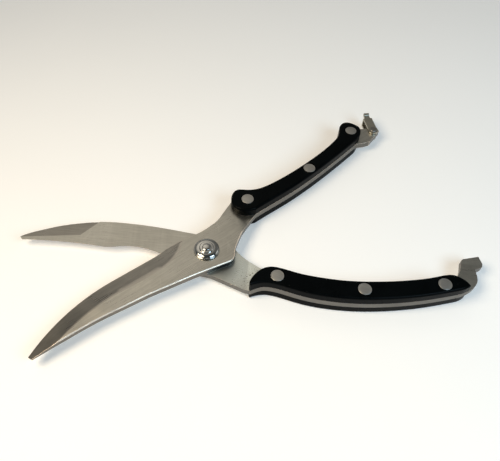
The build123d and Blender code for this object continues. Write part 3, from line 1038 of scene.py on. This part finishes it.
@dataclass
class Studio:
    """The pale table, the room's soft light and the camera."""

    azimuth: float = -14.632
    elevation: float = 52.80
    distance: float = 0.30296
    aim_offset: tuple[float, float] = (0.00558, 0.01440)
    lens: float = 39.164
    shift: tuple[float, float] = (0.0661, 0.0037)
    floor_size: float = 8.0
    glow: float = 0.22
    wall: Point = (-0.20, 0.63, 0.75)
    wall_reach: float = 0.56
    wall_colour: Colour = (0.77, 0.71, 0.615)
    window: Point = (0.93, 0.12, 0.34)
    window_reach: float = 0.42
    window_colour: Colour = (0.95, 0.98, 0.96)
    dim_behind: Colour = (0.035, 0.042, 0.045)
    dim_ahead: Colour = (0.14, 0.14, 0.132)
    dim_from: tuple[float, float] = (0.02, 0.42)
    paper: Colour = (0.86, 0.855, 0.845)
    paper_worn: Colour = (0.835, 0.83, 0.82)
    paper_glow: Colour = (1.0, 1.0, 0.98)
    table_drop: float = 0.05

    def floor(self) -> None:
        """Lays the table top."""
        work = bmesh.new()
        bmesh.ops.create_grid(work, x_segments=1, y_segments=1, size=self.floor_size / 2)
        bmesh.ops.translate(work, verts=work.verts, vec=(0.0, 0.0, -self.table_drop * MM))
        mesh = bpy.data.meshes.new("table_top")
        work.to_mesh(mesh)
        work.free()
        table = bpy.data.objects.new("table_top", mesh)
        bpy.context.scene.collection.objects.link(table)
        material, tree, shader = new_material("matt_paper")
        position = tree.add("TexCoord").outputs["Object"]
        film = Effects.place(tree, Effect.SMUDGES, Position=position, Fineness=9.0).outputs["Film"]
        paper = tree.blend(tree.maths("MULTIPLY", film, 0.35), self.paper, self.paper_worn)
        tree.tree.links.new(paper, shader.inputs["Base Color"])
        shader.inputs["Roughness"].default_value = 0.62
        shader.inputs["Specular IOR Level"].default_value = 0.25
        shader.inputs["Emission Color"].default_value = (*self.paper_glow, 1.0)
        shader.inputs["Emission Strength"].default_value = self.glow
        mesh.materials.append(material)

    def room(self) -> None:
        """Lights the room: a pale wall ahead of the camera, a low window on its right, dimness elsewhere."""
        world = bpy.data.worlds.new("room")
        bpy.context.scene.world = world
        world.use_nodes = True
        world.node_tree.nodes.clear()
        tree = Tree(world.node_tree)
        way = tree.add("TexCoord").outputs["Generated"]
        turn = Matrix.Rotation(math.radians(self.azimuth), 3, "Z")
        wall_at = tuple(turn @ Vector(self.wall))
        wall = Effects.place(tree, Effect.NEARNESS, Position=way, Centre=wall_at, Reach=self.wall_reach)
        forward = tuple(turn @ Vector((0.0, 1.0, 0.0)))
        ahead = tree.add("VectorMath", {0: way, 1: forward}, operation="DOT_PRODUCT")
        dim = tree.blend(
            tree.spread(ahead.outputs["Value"], *self.dim_from, 0.0, 1.0), self.dim_behind, self.dim_ahead
        )
        lit = tree.blend(wall.outputs["Mask"], dim, self.wall_colour)
        window_at = tuple(turn @ Vector(self.window))
        window = Effects.place(tree, Effect.NEARNESS, Position=way, Centre=window_at, Reach=self.window_reach)
        seen = tree.blend(window.outputs["Mask"], lit, self.window_colour)
        light = tree.add("Background", {"Color": seen, "Strength": 1.0})
        output = tree.add("OutputWorld")
        tree.tree.links.new(light.outputs[0], output.inputs[0])

    def camera(self) -> None:
        """Stands the camera over the table, looking down past the pivot."""
        pivot = centre_of("pivot_nut")
        middle = (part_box("front_blade")[0].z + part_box("rear_blade")[1].z) / 2
        turn = Matrix.Rotation(math.radians(self.azimuth), 3, "Z")
        aim = Vector((pivot.x, pivot.y, middle)) + turn @ Vector((*self.aim_offset, 0.0))
        rise = math.radians(self.elevation)
        back = turn @ Vector((0.0, -math.cos(rise), math.sin(rise)))
        camera = bpy.data.cameras.new("camera")
        camera.lens = self.lens
        camera.sensor_width = 36.0
        camera.shift_x, camera.shift_y = self.shift
        camera.clip_start = 0.01
        stand = bpy.data.objects.new("camera", camera)
        stand.location = aim + back * self.distance
        stand.rotation_euler = (-back).to_track_quat("-Z", "Y").to_euler()
        bpy.context.scene.collection.objects.link(stand)
        bpy.context.scene.camera = stand

    def build(self) -> None:
        """Sets up the whole studio."""
        self.floor()
        self.room()
        turn = Matrix.Rotation(math.radians(self.azimuth), 3, "Z")
        for name, place, aim, size, power, colour in (
            ("warm_window", (-0.25, -0.12, 0.42), (0.25, -0.15, 0.0), (0.24, 0.24), 2.15, (1.0, 0.85, 0.64)),
            ("cool_lamp", (0.36, -0.30, 0.42), (0.20, 0.04, 0.0), (0.30, 0.30), 1.6, (0.66, 0.90, 1.10)),
        ):
            place, aim = tuple(turn @ Vector(place)), tuple(turn @ Vector(aim))
            SoftBox(name, place, aim, size, power, colour).build()
        self.camera()
        bpy.context.scene.view_settings.view_transform = "Standard"


def make_blades() -> list[Blade]:
    """Describes both blades: what each zone's finish is, where the rear neck is polished under a painted
    sheen, and where painted shade darkens the front tip and the corner under the front neck.

    Returns:
        The front blade and the rear blade, not yet built.
    """
    pivot = tuple(centre_of("pivot_nut"))
    rear_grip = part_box("rear_scale_top")
    grip_front = (rear_grip[0].x + 0.002, rear_grip[1].y - 0.002, rear_grip[0].z)
    front_tip = (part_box("front_blade")[0].x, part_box("front_blade")[0].y, pivot[2])
    corner = (pivot[0] + 0.006, pivot[1] - 0.0105, pivot[2])
    sheen_and_polish_at = (pivot[0] + 0.014, pivot[1] - 0.0135, pivot[2])
    # Painted shade: a near-black patch in the corner under the front neck's edge, on the front plate's steep
    # side and on the rear flat beside it; it is also made a little rougher.
    corner_shade = Spot(corner, 0.013, (0.012, 0.014, 0.015), share=1.0, polish=-0.1)
    # Painted reflection: a pale, cool patch on the rear neck, where the steel is also polished a little
    # smoother.
    bright = Spot(sheen_and_polish_at, 0.022, (0.84, 0.92, 0.90), share=0.9, polish=0.08)
    # Painted shade: the front blade darkened towards its tip, on its grind and on its flat.
    tip_shade_on_grind = Spot(front_tip, 0.075, (0.22, 0.205, 0.18))
    tip_shade_on_flat = Spot(front_tip, 0.06, (0.30, 0.28, 0.25))
    blades = []
    # The fourth item, the ground zone's colour, is painted darker than the flats as painted shade, most of
    # all on the rear blade.
    for node, body, turn, ground, spots, cross in (
        ("front_blade", Body.FRONT, -SPREAD, (0.52, 0.495, 0.45), {
            Zone.FLAT: (tip_shade_on_flat,), Zone.GRIND: (tip_shade_on_grind,), Zone.SIDE: (corner_shade,)
        }, 0.0),
        ("rear_blade", Body.REAR, SPREAD, (0.35, 0.335, 0.305), {Zone.FLAT: (bright, corner_shade)}, 0.28),
    ):
        # The first colour is a painted highlight on the broken edges. The second is painted shade on the
        # steep sides, whose rougher grain is the sheared steel's own.
        edge_highlight, side_shade = (0.94, 0.80, 0.66), (0.19, 0.18, 0.165)
        finishes = {
            Zone.FLAT: GroundSteel(
                node + "_flat", turn=turn, cross=cross, spots=spots.get(Zone.FLAT, ()), grime_at=grip_front
            ),
            Zone.GRIND: GroundSteel(
                node + "_grind", ground, turn, roughness=0.29, grain=0.3, spots=spots.get(Zone.GRIND, ())
            ),
            Zone.EDGE: GroundSteel(
                node + "_broken_edge_painted_highlight", edge_highlight, turn, roughness=0.36, grain=0.1, scratches=0.15
            ),
            Zone.SIDE: GroundSteel(
                node + "_sheared_side_painted_shade", side_shade, turn, roughness=0.42, grain=0.6, spots=spots.get(Zone.SIDE, ())
            ),
        }
        blades.append(Blade(node, body, finishes=finishes))
    return blades


def main() -> None:
    """Loads the frame, builds and dresses every sub-assembly, and sets up the studio."""
    logging.basicConfig(level=logging.INFO, format="%(message)s")
    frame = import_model()

    for blade in make_blades():
        piece = blade.build(frame)
        blade.dress(piece)
        LOG.info("built %s: %d faces", piece.name, len(piece.data.polygons))

    plastic = MouldedPlastic("black_grip_plastic").material()
    alloy = BrightMetal("rivet_alloy_satin", (0.50, 0.49, 0.465), 0.40, grain=0.2).material()
    for half, body in (("front", Body.FRONT), ("rear", Body.REAR)):
        Grips(half).dress(frame, plastic)
        rivets = Rivets(half, body)
        pieces = rivets.build()
        rivets.dress(pieces, alloy)
        LOG.info("dressed the %s grips and built %d rivet pieces", half, len(pieces))

    joint = Pivot()
    made = joint.build(frame)
    joint.dress(
        made,
        BrightMetal("nut_chrome_plate", (0.62, 0.62, 0.60), 0.09, film=0.05, grain=0.02).material(),
        BrightMetal("small_steel_turned", (0.50, 0.49, 0.46), 0.30).material(),
        BrightMetal("spring_wire_drawn", (0.46, 0.45, 0.43), 0.28).material(),
    )
    LOG.info("built the pivot: %s", ", ".join(sorted(made)))

    latch = Latch()
    pieces = latch.build(frame)
    latch.dress(
        pieces,
        GroundSteel("latch_steel", colour=(0.44, 0.42, 0.36), turn=1.1, roughness=0.40).material(),
        BrightMetal("latch_pin_steel", (0.30, 0.29, 0.27), 0.42, grain=0.15).material(),
    )
    LOG.info("built the latch: %d pieces", len(pieces))

    Studio().build()


if __name__ == "__main__":
    main()
